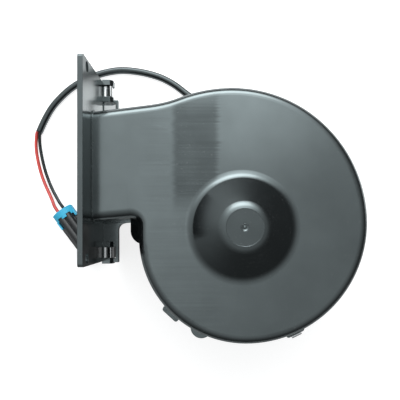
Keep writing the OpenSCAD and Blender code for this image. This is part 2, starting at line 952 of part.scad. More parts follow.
module motor_can() {
    color("#a9adb0")
        translate([fan_x, -fan_drop, 0])
            difference() {
                union() {
                    translate([0, 0, joint_z])
                        rotate_extrude()
                            edge_section(can_r, can_l, 3);
                    translate([0, 0, can_top - 1])
                        rotate_extrude()
                            edge_section(bush_seat_r, bush_l - can_wall + 1, 1.5);
                }
                translate([0, 0, joint_z - 1])
                    cylinder(r = can_r - can_wall, h = can_l - can_wall + 1);
                translate([0, 0, can_top - can_wall - 1])
                    cylinder(r = bush_r, h = bush_l + 2);
                for (s = [-1, 1])
                    translate([s * bolt_at, 0, can_top - can_wall - 1])
                        cylinder(r = bolt_r, h = can_wall + 2);
            }
}

module end_bell() {
    color("#2e3236")
        translate([fan_x, -fan_drop, 0])
            difference() {
                union() {
                    translate([0, 0, joint_z])
                        mirror([0, 0, 1])
                            difference() {
                                rotate_extrude()
                                    edge_section(can_r, bell_h, 3);
                                translate([0, 0, -1])
                                    cylinder(r = can_r - 5, h = bell_h - wall + 1);
                            }
                    translate([-9, can_r - 5.5, rest_z + 0.5])
                        cube([18, exit_y - can_r + 5.5, bell_h - 0.5]);
                    translate([0, 0, rest_z + 1])
                        cylinder(r = bush_seat_r, h = rear_bush_z + bush_l - rest_z - 1);
                    for (s = [-1, 1])
                        translate([s * bolt_at, 0, rest_z + 1])
                            cylinder(r = bolt_head_r + 0.8, h = bell_h - 1);
                }
                translate([0, 0, rear_bush_z])
                    cylinder(r = bush_r, h = bush_l + 1);
                translate([0, 0, rear_bush_z - 1])
                    cylinder(r = shaft_r + 0.5, h = bush_l);
                for (s = [-1, 1])
                    translate([s * bolt_at, 0, rest_z - 1]) {
                        cylinder(r = bolt_r + bolt_gap, h = bell_h + 2);
                        cylinder(r = bolt_head_r + 0.3, h = bolt_sink + bolt_head_h + 1);
                    }
                translate([0, can_r - 8, rest_z + exit_h])
                    rotate([-90, 0, 0])
                        cylinder(r = 5, h = 12);
            }
}

module motor_plate() {
    color("#8f9396")
        translate([fan_x, -fan_drop, plate_z])
            linear_extrude(plate_t)
                difference() {
                    union() {
                        circle(can_r + 5);
                        for (a = ear_angles)
                            rotate(a) {
                                translate([ear_r, 0])
                                    circle(7.5);
                                translate([can_r, -7.5])
                                    square([ear_r - can_r, 15]);
                            }
                    }
                    circle(can_r);
                    for (a = ear_angles)
                        rotate(a)
                            translate([ear_r, 0])
                                circle(rubber_neck_r);
                }
}

module motor_grommets() {
    color("#17191a")
        for (a = ear_angles)
            translate([fan_x, -fan_drop, 0])
                rotate([0, 0, a])
                    translate([ear_r, 0, plate_z - rubber_t])
                        rotate_extrude()
                            difference() {
                                union() {
                                    square([rubber_r, rubber_t]);
                                    square([rubber_neck_r, 2 * rubber_t + plate_t]);
                                    translate([0, rubber_t + plate_t])
                                        square([rubber_r, rubber_t]);
                                }
                                square([rubber_bore_r, 2 * rubber_t + plate_t]);
                            }
}

module motor_screws() {
    color("#c4c7c9")
        for (a = ear_angles)
            translate([fan_x, -fan_drop, 0])
                rotate([0, 0, a])
                    translate([ear_r, 0, plate_z - rubber_t])
                        difference() {
                            union() {
                                translate([0, 0, -screw_head_h])
                                    rotate_extrude()
                                        mirror([0, 1])
                                            translate([0, -screw_head_h])
                                                edge_section(screw_head_r, screw_head_h, screw_head_h / 2);
                                cylinder(r = screw_r, h = boss_z - plate_z + rubber_t + screw_in);
                            }
                            for (q = [0, 90])
                                rotate([0, 0, q])
                                    translate([-screw_r, -screw_r / 5, -screw_head_h - 1])
                                        cube([2 * screw_r, 0.4 * screw_r, screw_head_h - 0.2]);
                        }
}

module through_bolts() {
    color("#c4c7c9")
        for (s = [-1, 1])
            translate([fan_x + s * bolt_at, -fan_drop, rest_z + bolt_sink])
                difference() {
                    union() {
                        cylinder(r = bolt_head_r, h = bolt_head_h);
                        cylinder(r = bolt_r, h = can_top - rest_z - bolt_sink);
                    }
                    translate([-bolt_head_r, -0.4, -1])
                        cube([2 * bolt_head_r, 0.8, bolt_head_h - 0.4]);
                }
}

module field_magnets() {
    color("#3a3d40")
        for (a = [90, 270])
            translate([fan_x, -fan_drop, magnet_z])
                rotate([0, 0, a - 64])
                    rotate_extrude(angle = 128)
                        translate([can_r - can_wall - magnet_t, 0])
                            square([magnet_t, magnet_l]);
}

module bush() {
    difference() {
        cylinder(r = bush_r, h = bush_l);
        translate([0, 0, -1])
            cylinder(r = shaft_r + bearing_gap, h = bush_l + 2);
    }
}

module front_bush() {
    color("#a8763e")
        translate([fan_x, -fan_drop, can_top - can_wall])
            bush();
}

module rear_bush() {
    color("#a8763e")
        translate([fan_x, -fan_drop, rear_bush_z])
            bush();
}

module brush_card() {
    color("#6b4a2c")
        translate([fan_x, -fan_drop, joint_z])
            linear_extrude(card_t)
                difference() {
                    circle(can_r - can_wall - 0.4);
                    circle(comm_r + 3);
                    for (s = [-1, 1])
                        translate([s * bolt_at, 0])
                            circle(bolt_r + bolt_gap);
                }
}

// Places a brush part at one brush position, X outward from the axis, Z up from the card.
module at_brush(side) {
    translate([fan_x, -fan_drop, joint_z + card_t])
        rotate([0, 0, brush_angle + 180 * side])
            children();
}

// A brass box, closed at its outer end, that guides a brush.
module brush_boxes() {
    w = brush_w + 2 * (box_play + box_wall);
    h = brush_h + 2 * (box_play + box_wall);
    color("#c8a24a")
        for (side = [0, 1])
            at_brush(side)
                difference() {
                    translate([comm_r + 1.5, -w / 2, 0])
                        cube([box_l, w, h]);
                    translate([comm_r, -w / 2 + box_wall, box_wall])
                        cube([box_l + 1.5 - box_wall, w - 2 * box_wall, h - 2 * box_wall]);
                }
}

module brush(side) {
    color("#2c2c2e")
        at_brush(side)
            difference() {
                translate([comm_r - 1, -brush_w / 2, box_wall + box_play])
                    cube([brush_l + 1, brush_w, brush_h]);
                cylinder(r = comm_r + brush_gap, h = 4 * brush_h);
            }
}

// A hoop of spring strip between the back of a brush and the end of its box.
module brush_spring(side) {
    room = box_l + 1.5 - box_wall - brush_l;
    r = room / 2 - spring_gap;
    color("#d0b070")
        at_brush(side)
            translate([comm_r + brush_l + room / 2, 0, box_wall + box_play + 1.5])
                difference() {
                    cylinder(r = r, h = brush_h - 3);
                    translate([0, 0, -1])
                        cylinder(r = r - spring_t, h = brush_h);
                }
}

module brush_a() {
    brush(0);
}

module brush_b() {
    brush(1);
}

module brush_spring_a() {
    brush_spring(0);
}

module brush_spring_b() {
    brush_spring(1);
}

module lead_grommet() {
    color("#1a1c1d")
        translate([fan_x, -fan_drop, rest_z + exit_h])
            rotate([-90, 0, 0])
                translate([0, 0, can_r - 6]) {
                    neck = exit_y - can_r + 6;
                    cylinder(r = 5, h = neck);
                    translate([0, 0, neck])
                        rotate_extrude()
                            edge_section(7, 2, 0.8);
                    translate([0, 0, neck])
                        cylinder(r1 = 5.6, r2 = 4.6, h = grommet_l);
                }
}

function unit(v) = v / norm(v);
function heading(p, i) = unit(p[min(i + 1, len(p) - 1)] - p[max(i - 1, 0)]);
function ring_at(p, i, r, n) =
    let (t = heading(p, i), side = unit(cross(t, [0, 0, 1])), up = cross(side, t))
    [for (j = [0:n - 1]) p[i] + r * (cos(360 * j / n) * side + sin(360 * j / n) * up)];

// A round cord along its route, one ring at each point.
module cord(route, d, n) {
    m = len(route);
    points = [for (i = [0:m - 1]) each ring_at(route, i, d / 2, n)];
    faces = concat(
        [[for (j = [n - 1:-1:0]) j]],
        [for (i = [0:m - 2], j = [0:n - 1]) [i * n + j, i * n + (j + 1) % n, (i + 1) * n + (j + 1) % n]],
        [for (i = [0:m - 2], j = [0:n - 1]) [i * n + j, (i + 1) * n + (j + 1) % n, (i + 1) * n + j]],
        [[for (j = [0:n - 1]) (m - 1) * n + j]]
    );
    translate(lead_o)
        polyhedron(points, faces, convexity = 4);
}

module lead_sleeve() {
    color("#1b1d1f")
        cord(sleeve_route, sleeve_d, 12);
}

module red_wire() {
    color("#c8322c")
        cord(red_route, wire_d, 8);
}

module black_wire() {
    color("#202224")
        cord(black_route, wire_d, 8);
}

// Connector frame: X from the wires into the connector, Z up from the table.
module at_connector() {
    translate(lead_o + conn_o)
        rotate([0, 0, conn_turn])
            children();
}

// A bar along X with its four long edges rounded, standing on Z = 0.
module rounded_bar(l, w, h, r) {
    rotate([90, 0, 90])
        linear_extrude(l) {
            translate([-w / 2 + r, 0])
                square([w - 2 * r, h]);
            translate([-w / 2, r])
                square([w, h - 2 * r]);
            for (x = [-1, 1], y = [r, h - r])
                translate([x * (w / 2 - r), y])
                    circle(r, $fn = 32);
        }
}

module connector_body() {
    nose = lock_l + ridge_l;
    color("#222426")
        at_connector()
            difference() {
                union() {
                    translate([lock_l, 0, 0])
                        rounded_bar(arm_l + 1, conn_w - 2 * arm_w - 0.8, conn_h, 2);
                    translate([lock_l + arm_l, 0, 0])
                        rounded_bar(ridge_l - arm_l, conn_w, conn_h, 2);
                    for (s = [-1, 1])
                        translate([lock_l - ridge_back, s * wire_pitch / 2, conn_h - ridge_drop])
                            rotate([0, 90, 0])
                                cylinder(r = ridge_r, h = ridge_l + ridge_back);
                    translate([nose - 1, 0, 0.4])
                        rounded_bar(conn_l - ridge_l + 1, conn_w - 3, conn_h + 1, 2);
                    translate([nose - 3, 0, conn_h - 1])
                        rounded_bar(3, conn_w + 1, 3.2, 1);
                    translate([nose, -3.2, conn_h])
                        cube([conn_l - ridge_l - 1, 6.4, 3.4]);
                }
                for (s = [-1, 1])
                    translate([lock_l, s * wire_pitch / 2, wire_z])
                        rotate([0, 90, 0]) {
                            cylinder(r = seal_r, h = seal_l);
                            translate([0, 0, -ridge_back - 1])
                                cylinder(d = wire_d + 2 * hole_play, h = ridge_back + 2);
                        }
                for (s = [-1, 1])
                    translate([lock_l + seal_l - 0.5, s * wire_pitch / 2 - 2.7, wire_z - 2.4])
                        cube([conn_l, 5.4, 4.8]);
                translate([nose - 1, -1.2, conn_h + 2])
                    cube([conn_l - ridge_l + 2, 2.4, 3]);
            }
}

module connector_lock() {
    color("#3cb4e0")
        at_connector()
            translate([0, 0, lock_lift])
                difference() {
                    union() {
                        intersection() {
                            rounded_bar(lock_l - 0.2, conn_w, lock_h, 1.2);
                            translate([-1, 0, lock_h - lock_arch_r])
                                rotate([0, 90, 0])
                                    cylinder(r = lock_arch_r, h = lock_l + 2);
                        }
                        for (s = [0, 1])
                            mirror([0, s, 0])
                                translate([lock_l - 1, conn_w / 2 - arm_w, 1])
                                    cube([arm_l + 0.6 - (1 - s) * arm_short, arm_w, arm_h]);
                    }
                    for (s = [-1, 1])
                        translate([-1, s * wire_pitch / 2, wire_z - lock_lift])
                            rotate([0, 90, 0])
                                cylinder(d = wire_d + 2 * hole_play, h = lock_l + 2);
                    for (s = [-1, 1])
                        translate([lock_l - lock_notch, s * wire_pitch / 2, conn_h - ridge_drop - lock_lift])
                            rotate([0, 90, 0])
                                cylinder(r = ridge_r + 0.4, h = lock_notch + 1);
                }
}

module wire_seals() {
    color("#3f8f58")
        at_connector()
            for (s = [-1, 1])
                translate([lock_l, s * wire_pitch / 2, wire_z])
                    rotate([0, 90, 0])
                        cylinder(r = seal_r, h = seal_l);
}

module terminals() {
    color("#c9b27a")
        at_connector()
            for (s = [-1, 1])
                translate([lock_l + seal_l, s * wire_pitch / 2, wire_z]) {
                    translate([0, -blade_tab[1] / 2, -2.4])
                        cube(blade_tab);
                    translate([0, -crimp[1] / 2, -2.4])
                        cube(crimp);
                }
}

front_housing();
rear_housing();
inlet_ring();
motor_cradle();
housing_clips();
blower_wheel();
wheel_clip();
motor_shaft();
armature_core();
armature_windings();
commutator();
thrust_washers();
motor_can();
end_bell();
motor_plate();
motor_grommets();
motor_screws();
through_bolts();
field_magnets();
front_bush();
rear_bush();
brush_card();
brush_boxes();
brush_a();
brush_b();
brush_spring_a();
brush_spring_b();
lead_grommet();
lead_sleeve();
red_wire();
black_wire();
connector_body();
connector_lock();
wire_seals();
terminals();
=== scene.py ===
"""A heater blower motor on its back on a white table: the CAD part with its finishes and lead."""

import math

import bpy
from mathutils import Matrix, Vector


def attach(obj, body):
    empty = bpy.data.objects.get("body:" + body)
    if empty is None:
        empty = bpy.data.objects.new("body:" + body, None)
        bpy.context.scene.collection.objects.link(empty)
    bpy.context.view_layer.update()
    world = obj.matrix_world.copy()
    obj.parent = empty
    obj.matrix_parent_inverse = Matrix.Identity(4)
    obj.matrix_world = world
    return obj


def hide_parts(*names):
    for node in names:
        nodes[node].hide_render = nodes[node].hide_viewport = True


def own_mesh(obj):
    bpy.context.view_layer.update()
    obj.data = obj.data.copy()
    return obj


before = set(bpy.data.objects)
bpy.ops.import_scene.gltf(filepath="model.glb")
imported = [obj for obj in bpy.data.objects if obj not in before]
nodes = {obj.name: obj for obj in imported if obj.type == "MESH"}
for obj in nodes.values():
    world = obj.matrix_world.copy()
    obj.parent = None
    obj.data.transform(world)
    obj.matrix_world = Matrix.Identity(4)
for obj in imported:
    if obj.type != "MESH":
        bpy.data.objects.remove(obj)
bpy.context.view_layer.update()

# The rotor: a ground steel shaft through a stack of iron sheets, with enamelled copper wound
# in the stack's slots and a turned copper commutator behind it.
GRAIN_USUAL = (0.3, 0.7)


def put(tree, kind, sockets=None, **settings):
    """A shader node with its settings, and its sockets set or linked."""
    made = tree.nodes.new("ShaderNode" + kind)
    for key, value in settings.items():
        setattr(made, key, value)
    for key, value in (sockets or {}).items():
        if isinstance(value, bpy.types.NodeSocket):
            tree.links.new(value, made.inputs[key])
        else:
            made.inputs[key].default_value = value
    return made


def new_finish(name, colour, rough, metal=0.0):
    """A finish with one shader; what is the same all over is set on the shader itself."""
    finish = bpy.data.materials.new(name)
    finish.use_nodes = True
    shader = finish.node_tree.nodes["Principled BSDF"]
    shader.inputs["Base Color"].default_value = (*colour, 1)
    shader.inputs["Roughness"].default_value = rough
    shader.inputs["Metallic"].default_value = metal
    return finish, finish.node_tree, shader


def grain(tree, scale, detail=3.0, soft=0.5):
    """Uneven grain over a piece: one number is even grain, three stretch it."""
    scale = scale if isinstance(scale, tuple) else (scale,) * 3
    place = put(tree, "TexCoord").outputs["Object"]
    drawn = put(tree, "Mapping", {"Vector": place, "Scale": scale}).outputs["Vector"]
    noise = {"Vector": drawn, "Scale": 1.0, "Detail": detail, "Roughness": soft}
    return put(tree, "TexNoise", noise).outputs["Fac"]


def spread(tree, value, low, high, out_low, out_high, **settings):
    """A value's range from low to high spread over another range."""
    ranges = {
        "Value": value, "From Min": low, "From Max": high, "To Min": out_low, "To Max": out_high
    }
    return put(tree, "MapRange", ranges, **settings).outputs["Result"]


def vary(tree, grained, out_low, out_high):
    """A grain's usual values spread over another range."""
    return spread(tree, grained, *GRAIN_USUAL, out_low, out_high)


def add(tree, *values):
    """The sum of several values."""
    total = values[0]
    for value in values[1:]:
        total = put(tree, "Math", {0: total, 1: value}, operation="ADD").outputs[0]
    return total


def tint(tree, shader, amount, dark, light):
    """The colour runs from dark to light with the amount; dark may be a tint made before."""
    if not isinstance(dark, bpy.types.NodeSocket):
        dark = (*dark, 1)
    ends = {"Factor": amount, 6: dark, 7: (*light, 1)}
    mixed = put(tree, "Mix", ends, data_type="RGBA").outputs[2]
    tree.links.new(mixed, shader.inputs["Base Color"])
    return mixed


def relief(tree, shader, height, depth, strength, edge=None):
    """A fine relief of that depth in metres; with edge, corners are rounded off by that radius."""
    bump = put(tree, "Bump", {"Height": height, "Distance": depth, "Strength": strength})
    if edge:
        soft = put(tree, "Bevel", {"Radius": edge}, samples=6)
        tree.links.new(soft.outputs["Normal"], bump.inputs["Normal"])
    tree.links.new(bump.outputs["Normal"], shader.inputs["Normal"])


def rolled_metal(name, dark, light, rough, lines, depth=0.00001):
    """Metal with fine rolling or turning lines and a little tarnish."""
    finish, tree, shader = new_finish(name, light, rough, 1.0)
    stain = grain(tree, 120.0, 4.0)
    tint(tree, shader, spread(tree, stain, 0.32, 0.7, 0, 1), dark, light)
    marks = grain(tree, lines, 3.0, 0.6)
    dull = add(
        tree,
        vary(tree, marks, rough - 0.06, rough + 0.08),
        vary(tree, stain, 0.05, -0.03),
    )
    tree.links.new(dull, shader.inputs["Roughness"])
    relief(tree, shader, marks, depth, 0.4, edge=0.0002)
    return finish


def dress(finish, *names):
    """The finish goes on these CAD pieces."""
    for name in names:
        mesh = nodes[name].data
        mesh.materials.clear()
        mesh.materials.append(finish)


ground_steel = rolled_metal(
    "ground_steel", (0.60, 0.60, 0.61), (0.80, 0.80, 0.81), 0.18, (30.0, 30.0, 2500.0)
)
dress(ground_steel, "motor_shaft")
stacked_iron = rolled_metal(
    "stacked_iron", (0.10, 0.10, 0.11), (0.26, 0.26, 0.27), 0.45, (20.0, 20.0, 1800.0), 0.00008
)
dress(stacked_iron, "armature_core")
enamelled_copper = rolled_metal(
    "enamelled_copper", (0.36, 0.11, 0.035), (0.66, 0.26, 0.09), 0.3, (700.0, 700.0, 120.0), 0.0001
)
dress(enamelled_copper, "armature_windings")
bar_copper = rolled_metal(
    "bar_copper", (0.52, 0.24, 0.12), (0.80, 0.42, 0.24), 0.28, (30.0, 30.0, 2400.0)
)
dress(bar_copper, "commutator")

# Round the rotor stand sintered ferrite magnets and bronze bushes, with thrust washers of
# pressed fibre. Brass boxes on a card of the same fibre guide the two carbon brushes.


def times(tree, a, b):
    """The product of two values."""
    return put(tree, "Math", {0: a, 1: b}, operation="MULTIPLY").outputs[0]


def worn_edge(tree, radius):
    """Where the surface turns sharply: 0 on flats, rising to 1 on edges."""
    soft = put(tree, "Bevel", {"Radius": radius}, samples=6).outputs["Normal"]
    flat = put(tree, "NewGeometry").outputs["Normal"]
    turn = put(tree, "VectorMath", {0: soft, 1: flat}, operation="DOT_PRODUCT").outputs["Value"]
    return spread(tree, turn, 0.98, 0.80, 0.0, 1.0)


def moulded(name, dark, light, rough, depth=0.00003, dust=0.0, level=0.5):
    """A moulded or pressed piece with faint flow, a fine spark texture and worn edges."""
    finish, tree, shader = new_finish(name, light, rough)
    shader.inputs["Specular IOR Level"].default_value = level
    flow = grain(tree, (22.0, 22.0, 9.0), 4.0)
    rubbed = spread(tree, grain(tree, 600.0), 0.4, 0.65, 0.0, 1.0)
    wear = times(tree, worn_edge(tree, 0.0006), rubbed)
    tint(tree, shader, add(tree, times(tree, flow, 0.6), times(tree, wear, 0.6)), dark, light)
    spark = grain(tree, 1700.0, 2.0)
    dull = add(
        tree,
        vary(tree, flow, rough - 0.04, rough + 0.05 + dust),
        vary(tree, spark, -0.03, 0.04),
    )
    tree.links.new(dull, shader.inputs["Roughness"])
    relief(tree, shader, spark, depth, 0.4, edge=0.0003)
    return finish


sintered_ferrite = moulded(
    "sintered_ferrite", (0.045, 0.045, 0.048), (0.085, 0.085, 0.09), 0.6, 0.00008
)
dress(sintered_ferrite, "field_magnets")
bush_bronze = rolled_metal(
    "bush_bronze", (0.38, 0.23, 0.09), (0.66, 0.44, 0.21), 0.4, (1200.0, 1200.0, 1200.0)
)
dress(bush_bronze, "front_bush", "rear_bush")
pressed_fibre = moulded("pressed_fibre", (0.13, 0.07, 0.03), (0.26, 0.15, 0.075), 0.7, 0.00006)
dress(pressed_fibre, "thrust_washers", "brush_card")
box_brass = rolled_metal(
    "box_brass", (0.55, 0.38, 0.15), (0.78, 0.58, 0.28), 0.3, (60.0, 900.0, 60.0)
)
dress(box_brass, "brush_boxes")
carbon_block = moulded(
    "carbon_block", (0.022, 0.022, 0.024), (0.050, 0.050, 0.053), 0.55, 0.00006
)
dress(carbon_block, "brush_a", "brush_b")

# Behind each brush a round hoop of springy brass strip presses against the end of its box.
FAN_X = 0.1215
HOOP_R = 0.0017
HOOP_T = 0.00035
HOOP_Z = (-0.0477, -0.0431)
HOOP_SIDES = 48
HOOP_A_Y = -0.02675
HOOP_B_Y = -0.07025


def mesh_piece(name, points, faces, finish, smooth=True):
    """A new object from corner points and faces."""
    mesh = bpy.data.meshes.new(name)
    mesh.from_pydata([tuple(p) for p in points], [], faces)
    mesh.validate()
    if smooth:
        mesh.polygons.foreach_set("use_smooth", [True] * len(mesh.polygons))
    mesh.materials.append(finish)
    piece = bpy.data.objects.new(name, mesh)
    bpy.context.scene.collection.objects.link(piece)
    return piece


def level_ring(x, y, z, radius, sides):
    """Points on a circle that lies level."""
    turns = [2 * math.pi * k / sides for k in range(sides)]
    return [(x + radius * math.cos(t), y + radius * math.sin(t), z) for t in turns]


def band(start, end, sides):
    """Faces between two rings of points, each given by the number of its first point."""
    faces = []
    for k in range(sides):
        n = (k + 1) % sides
        faces.append((start + k, start + n, end + n, end + k))
    return faces


def hoop_spring(name, node, middle_y):
    """A round hoop of strip on edge, held at the end of its box."""
    low, high = HOOP_Z
    inside = HOOP_R - HOOP_T
    rings = [(HOOP_R, low), (HOOP_R, high), (inside, high), (inside, low)]
    points, faces = [], []
    for i, (r, z) in enumerate(rings):
        points += level_ring(FAN_X, middle_y, z, r, HOOP_SIDES)
        faces += band(i * HOOP_SIDES, (i + 1) % len(rings) * HOOP_SIDES, HOOP_SIDES)
    hoop = mesh_piece(name, points, faces, box_brass, smooth=False)
    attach(hoop, "blower")
    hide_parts(node)
    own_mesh(hoop)


hoop_spring("brush_hoop_a", "brush_spring_a", HOOP_A_Y)
hoop_spring("brush_hoop_b", "brush_spring_b", HOOP_B_Y)

# The motor's case: a drawn steel can and its mounting plate with zinc plating, and an end
# bell of glass-filled plastic. Two plated through bolts draw the can and the bell together.
zinc_can = rolled_metal(
    "zinc_can", (0.36, 0.37, 0.38), (0.60, 0.61, 0.61), 0.34, (40.0, 40.0, 900.0)
)
dress(zinc_can, "motor_can", "motor_plate")
bell_plastic = moulded("bell_plastic", (0.020, 0.021, 0.023), (0.040, 0.042, 0.045), 0.5)
dress(bell_plastic, "end_bell")
zinc_screw = rolled_metal(
    "zinc_screw", (0.46, 0.46, 0.45), (0.72, 0.72, 0.70), 0.28, (900.0, 900.0, 300.0)
)
dress(zinc_screw, "through_bolts")

# Three rubber grommets with shouldered screws hang the motor plate on the housing's cradle.
# The rubber is moulded and matt, and the screws are plated like the bolts.


def soft_rubber(name, dark, light):
    """Matt rubber with a pale bloom."""
    finish, tree, shader = new_finish(name, light, 0.7)
    bloom = grain(tree, 350.0, 4.0)
    tint(tree, shader, spread(tree, bloom, 0.35, 0.7, 0, 1), dark, light)
    tree.links.new(vary(tree, bloom, 0.62, 0.8), shader.inputs["Roughness"])
    relief(tree, shader, grain(tree, 2200.0, 2.0), 0.00004, 0.5, edge=0.0004)
    return finish


black_rubber = soft_rubber("black_rubber", (0.010, 0.010, 0.011), (0.022, 0.022, 0.023))
dress(black_rubber, "motor_grommets")
dress(zinc_screw, "motor_screws")

# The blower wheel is one dark grey moulding: forty thin blades between a coned back plate and
# a ring, dull with dust. A push-on clip of bright spring strip holds it on the shaft.
wheel_plastic = moulded(
    "wheel_plastic", (0.018, 0.019, 0.020), (0.034, 0.036, 0.037), 0.42, dust=0.08
)
dress(wheel_plastic, "blower_wheel")
spring_strip = rolled_metal(
    "spring_strip", (0.50, 0.51, 0.52), (0.80, 0.80, 0.80), 0.20, (900.0, 900.0, 60.0)
)
dress(spring_strip, "wheel_clip")

# The two housing halves are moulded in black plastic from a satin tool. The tool was polished
# by hand in level strokes, which show as fine streaks on the front. A patch above the dome has
# less sheen and more roughness, so it reads darker. Painted shade: the flange plate's inner face
# below the neck has most of its sheen taken away, as if in the neck's shadow. Edges are a little
# scuffed.
HOUSING_IOR = 1.8
# Painted light: the room's cool daylight tint is put on the reflections of the housing and the
# leads, not in the room's light.
PAINTED_COOL_LIGHT = (0.87, 1.0, 1.02, 1)
DUST_GREY = (0.055, 0.056, 0.055)
STROKE_GRAIN = (9.0, 520.0, 9.0)
FINE_STROKE_GRAIN = (16.0, 1500.0, 16.0)
RAGGED = 0.0022
FRONT_FACING = (0.94, 0.995)
PLATE_FACING = (0.90, 0.98)
DOME_TOP_Z = (0.059, 0.062)
PLATE_INSIDE_X = (0.0042, 0.0055)
# These stretches have a start, an end and the blur at both.
PATCH_X = (0.068, 0.102, 0.003)
PATCH_Y = (-0.030, 0.052, 0.012)
STROKES_X = (0.046, 0.104, 0.010)
BELOW_NECK_Y = (-0.110, -0.044, 0.002)
# What each kind of surface adds to the roughness, to the sheen and to the relief.
CLOUD_ROUGH = (0.16, 0.20)
SPECK_ROUGH = (-0.01, 0.02)
PATCH_ROUGH = 0.05
STROKE_ROUGH = 0.05
SCUFF_ROUGH = 0.12
CLOUD_SHEEN = (0.92, 1.08)
MOTTLE_SHEEN = (-0.05, 0.05)
DOME_SHEEN = -0.3
PATCH_SHEEN = -0.42
# Painted shade: the sheen taken off the plate's inner face below the neck, so it reads dark.
PLATE_PAINTED_SHADE = -0.90
STROKE_SHEEN = 0.06
FINE_STROKE_RELIEF = 0.25
SPECK_RELIEF = 0.03


def between(tree, value, low, high, blur):
    """1 between two places and 0 outside them, with a soft edge."""
    soft = {"interpolation_type": "SMOOTHSTEP"}
    up = spread(tree, value, low - blur, low + blur, 0.0, 1.0, **soft)
    down = spread(tree, value, high - blur, high + blur, 1.0, 0.0, **soft)
    return times(tree, up, down)


satin_black, tree, shader = new_finish("satin_black", (0.005, 0.0058, 0.006), 0.18)
shader.inputs["IOR"].default_value = HOUSING_IOR
shader.inputs["Specular Tint"].default_value = PAINTED_COOL_LIGHT
# The sheen takes the place of this level; an export that drops the sheen's link keeps it.
shader.inputs["Specular IOR Level"].default_value = 1.0
place = put(tree, "SeparateXYZ", {"Vector": put(tree, "TexCoord").outputs["Object"]})
facing = put(tree, "SeparateXYZ", {"Vector": put(tree, "TexCoord").outputs["Normal"]})
front = spread(tree, facing.outputs["Z"], *FRONT_FACING, 0.0, 1.0)
strokes = grain(tree, STROKE_GRAIN, 4.0, 0.62)
fine_strokes = grain(tree, FINE_STROKE_GRAIN, 2.0)
across = add(tree, place.outputs["X"], vary(tree, strokes, -RAGGED, RAGGED))
# A patch above the dome gets less sheen and more roughness, so it reads darker.
patch = times(
    tree,
    between(tree, across, *PATCH_X),
    between(tree, place.outputs["Y"], *PATCH_Y),
)
dull_patch = times(tree, patch, front)
stroked = times(tree, between(tree, across, *STROKES_X), front)
stroke_marks = times(tree, stroked, strokes)
stroke_gloss = times(tree, stroked, spread(tree, strokes, 0.35, 0.65, -1.0, 1.0))
dome_top = times(tree, front, spread(tree, place.outputs["Z"], *DOME_TOP_Z, 0.0, 1.0))
# Painted shade: the plate's inner face below the neck loses most of its sheen, as if in the neck's
# shadow.
plate_inside = times(
    tree,
    spread(tree, facing.outputs["X"], *PLATE_FACING, 0.0, 1.0),
    spread(tree, place.outputs["X"], *PLATE_INSIDE_X, 1.0, 0.0),
)
below_neck = between(tree, place.outputs["Y"], *BELOW_NECK_Y)
cloud = grain(tree, 14.0)
mottle = grain(tree, 42.0, 2.0)
speck = grain(tree, 2600.0, 1.0)
scratches = spread(tree, grain(tree, 420.0, 4.0), 0.42, 0.62, 0.0, 1.0)
scuff = times(tree, worn_edge(tree, 0.0012), scratches)
clean = tint(
    tree,
    shader,
    add(tree, times(tree, cloud, 0.55), times(tree, scuff, 0.5)),
    (0.0040, 0.0046, 0.0050),
    (0.0085, 0.0095, 0.0102),
)
dust = spread(tree, grain(tree, 620.0, 1.0), 0.69, 0.75, 0.0, 0.8)
tint(tree, shader, dust, clean, DUST_GREY)
dull = add(
    tree,
    vary(tree, cloud, *CLOUD_ROUGH),
    times(tree, dull_patch, PATCH_ROUGH),
    times(tree, stroke_marks, STROKE_ROUGH),
    times(tree, scuff, SCUFF_ROUGH),
    spread(tree, speck, 0.4, 0.7, *SPECK_ROUGH),
)
tree.links.new(dull, shader.inputs["Roughness"])
sheen = add(
    tree,
    vary(tree, cloud, *CLOUD_SHEEN),
    vary(tree, mottle, *MOTTLE_SHEEN),
    times(tree, dome_top, DOME_SHEEN),
    times(tree, dull_patch, PATCH_SHEEN),
    times(tree, times(tree, plate_inside, below_neck), PLATE_PAINTED_SHADE),
    times(tree, stroke_gloss, STROKE_SHEEN),
)
tree.links.new(sheen, shader.inputs["Specular IOR Level"])
height = add(
    tree,
    stroke_marks,
    times(tree, times(tree, front, fine_strokes), FINE_STROKE_RELIEF),
    times(tree, speck, SPECK_RELIEF),
)
relief(tree, shader, height, 0.00003, 0.35, edge=0.0005)
dress(satin_black, "inlet_ring", "motor_cradle")

# The flange's outer face seals on the heater box, so it is flat: the ends of the neck's walls
# are trimmed level with the plate on both halves.
FLANGE_FACE_X = 0.0


def trimmed_half(name, node):
    """A housing half that ends at the flange's outer face."""
    mesh = nodes[node].data.copy()
    for point in mesh.vertices:
        point.co.x = max(point.co.x, FLANGE_FACE_X)
    mesh.materials.clear()
    mesh.materials.append(satin_black)
    half = bpy.data.objects.new(name, mesh)
    bpy.context.scene.collection.objects.link(half)
    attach(half, "blower")
    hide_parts(node)


trimmed_half("front_half", "front_housing")
trimmed_half("rear_half", "rear_housing")

# A low square rib runs round the neck where it meets the flange plate, on both halves. It is
# moulded with them and stops short of the clip webs at the joint.
NECK_H = 0.087
HOUSING_HALF = 0.0425
NECK_EDGE_R = 0.0075
PLATE_T = 0.004
RIB_W = 0.0010
RIB_H = 0.0011
RIB_ROOT = 0.0004
RIB_END = 0.014
RIB_STEPS = 10
# The rib's rounded edge, in shares of its width and height.
RIB_EDGE = [(0.75, 1.0), (0.95, 0.85), (1.0, 0.6)]


def rib_points():
    """Points on the neck's section from one side over the front to the other, with outward ways."""
    side, level = NECK_H / 2 - NECK_EDGE_R, HOUSING_HALF - NECK_EDGE_R
    line = [((NECK_H / 2, RIB_END), (1.0, 0.0))]
    for k in range(2 * RIB_STEPS + 2):
        quarter = 0 if k <= RIB_STEPS else 1
        turn = math.pi / 2 * ((k - quarter) / RIB_STEPS)
        out = (math.cos(turn), math.sin(turn))
        centre = side if quarter == 0 else -side
        line.append(((centre + NECK_EDGE_R * out[0], level + NECK_EDGE_R * out[1]), out))
    line.append(((-NECK_H / 2, RIB_END), (-1.0, 0.0)))
    return line


